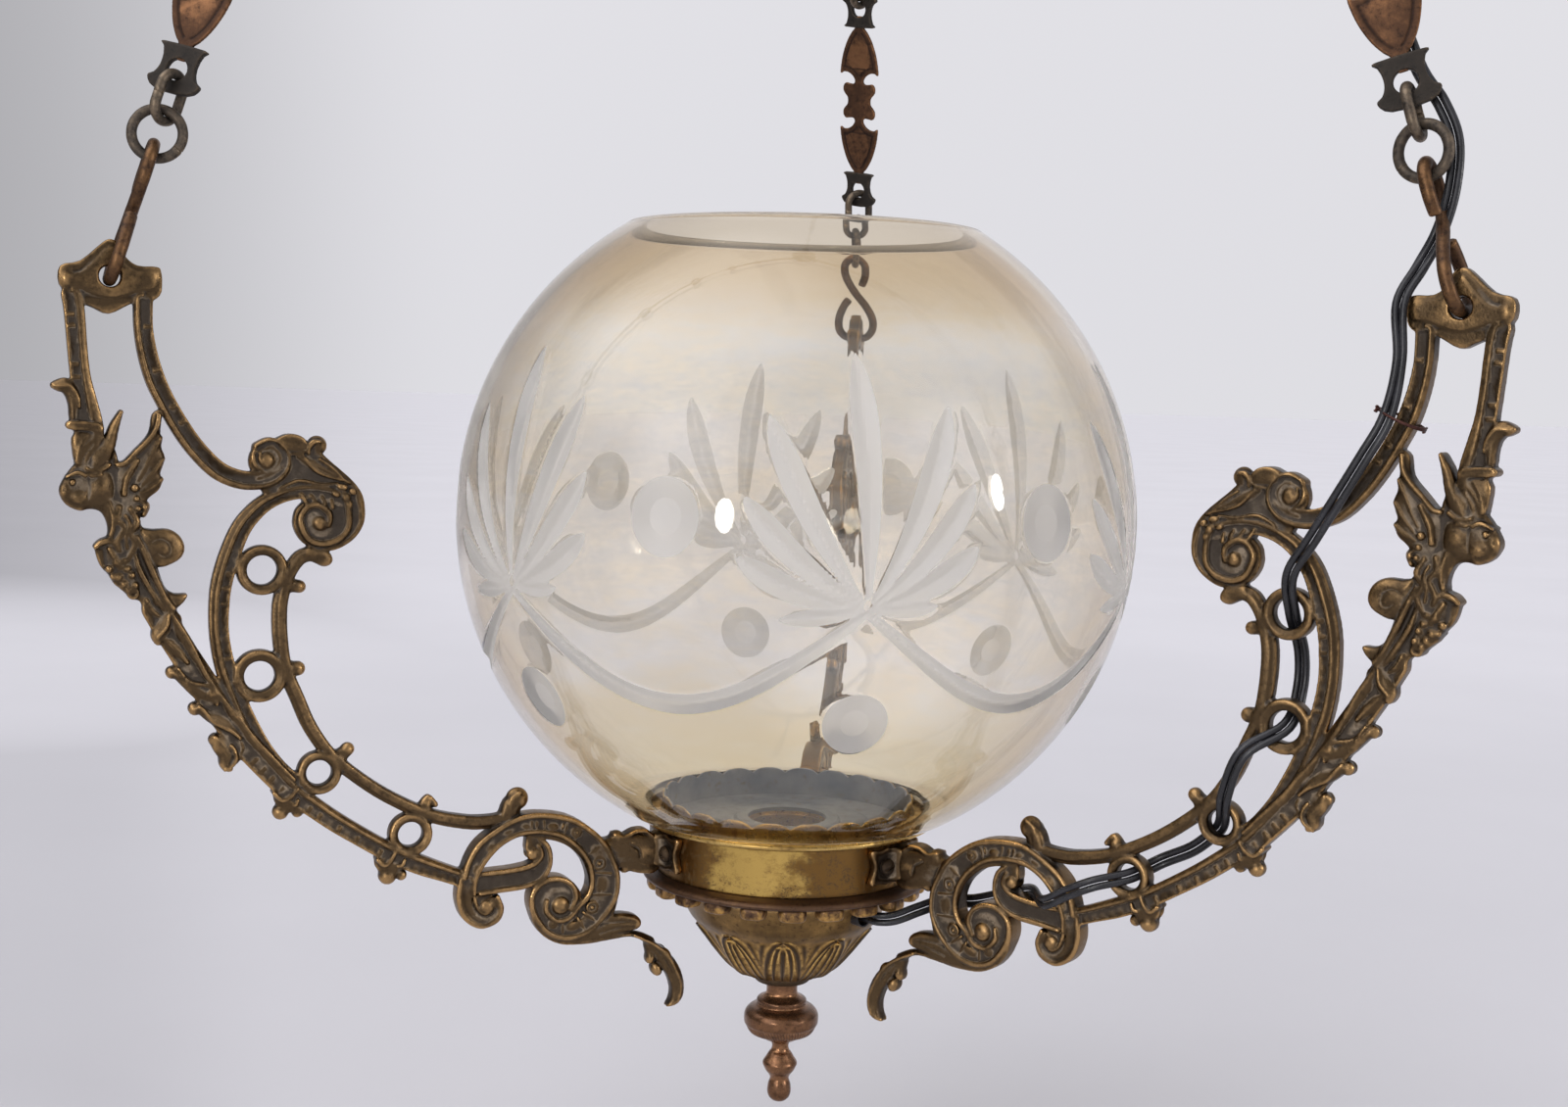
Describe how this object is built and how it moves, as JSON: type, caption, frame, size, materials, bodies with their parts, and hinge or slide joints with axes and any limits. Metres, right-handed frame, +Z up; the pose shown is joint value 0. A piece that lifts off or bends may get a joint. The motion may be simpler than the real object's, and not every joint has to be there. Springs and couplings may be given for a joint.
{
  "type": "ceiling lantern",
  "caption": "Hanging lantern: cut glass ball in a polished gallery, scroll arms with beast heads, stamped link chains, small bowl with turned finial, leads threaded up one arm.",
  "frame": {"origin": "centre of the suspension ring's bore", "axes": "+Z up along the lantern's axis; one arm points to +Y (rear), the others 120 degrees to either side; the suspension ring's bore runs along Y"},
  "size_m": [0.4346, 0.3795, 1.0209],
  "materials": {
    "cast_brass": "cast brass with dark brown patina in the hollows and rubbed golden edges",
    "polished_brass": "polished yellow brass, lightly stained",
    "dark_bronze": "dark bronze patina",
    "finial_bronze": "copper brown bronze, rubbed bright on the edges",
    "stamped_bronze": "copper brown sheet with dark patina",
    "connector_iron": "dark grey brown iron",
    "chain_wire": "grey brown wire with rubbed spots",
    "hook_wire": "reddish brown wire with rubbed spots",
    "iron": "dark forged iron",
    "steel": "plain steel",
    "zinc": "dull galvanised sheet",
    "lamp_brass": "lampholder brass",
    "ceramic": "glazed white ceramic",
    "lustre_glass": "clear glass with an amber lustre and matt cut ornament",
    "lead_black": "black insulated lead, satin",
    "tie_wire": "thin dark red brown tie wire"
  },
  "bodies": {
    "ceiling_ring": {"suspension_ring": "iron"},
    "link": {"hang_link": "iron"},
    "lantern": {"crown_loop": "dark_bronze", "crown_body": "cast_brass", "crown_nut": "iron", "terminal_block": "ceramic", "hook_left": "hook_wire", "hook_right": "hook_wire", "hook_rear": "hook_wire", "rings_left": "chain_wire", "rings_right": "chain_wire", "rings_rear": "chain_wire", "ovals_left": "chain_wire", "ovals_right": "chain_wire", "ovals_rear": "chain_wire", "connectors_left": "connector_iron", "connectors_right": "connector_iron", "connectors_rear": "connector_iron", "plates_left": "stamped_bronze", "plates_right": "stamped_bronze", "plates_rear": "stamped_bronze", "arm_left": "cast_brass", "arm_right": "cast_brass", "arm_rear": "cast_brass", "arm_screws": "dark_bronze", "arm_nuts": "steel", "gallery_band": "polished_brass", "gallery_ledge": "cast_brass", "globe_seat": "zinc", "cup_plate": "zinc", "lampholder_flange": "zinc", "lampholder_shell": "lamp_brass", "lamp_screw_shell": "lamp_brass", "lampholder_core": "ceramic", "lamp_contact": "lamp_brass", "lampholder_base": "lamp_brass", "tie_rod": "steel", "rod_nut": "steel", "bowl": "cast_brass", "neck_washer": "dark_bronze", "lead_bush": "lead_black", "lead_a": "lead_black", "lead_b": "lead_black", "lead_tie": "tie_wire"},
    "glass_globe": {"globe": "lustre_glass"},
    "bottom_finial": {"finial": "finial_bronze"}
  },
  "joints": [
    {"name": "link_swing", "type": "hinge", "parent": "ceiling_ring", "child": "link", "pos_m": [0, 0, -0.0246], "axis": [1, 0, 0], "range_deg": [-30, 30]},
    {"name": "lantern_swing", "type": "hinge", "parent": "link", "child": "lantern", "pos_m": [0, 0, -0.0356], "axis": [0, 1, 0], "range_deg": [-30, 30]},
    {"name": "globe_lift", "type": "slide", "parent": "lantern", "child": "glass_globe", "axis": [0, 0, 1], "range_m": [0, 0.06]},
    {"name": "finial_turn", "type": "hinge", "parent": "lantern", "child": "bottom_finial", "pos_m": [0, 0, -0.98], "axis": [0, 0, 1], "continuous": true}
  ]
}
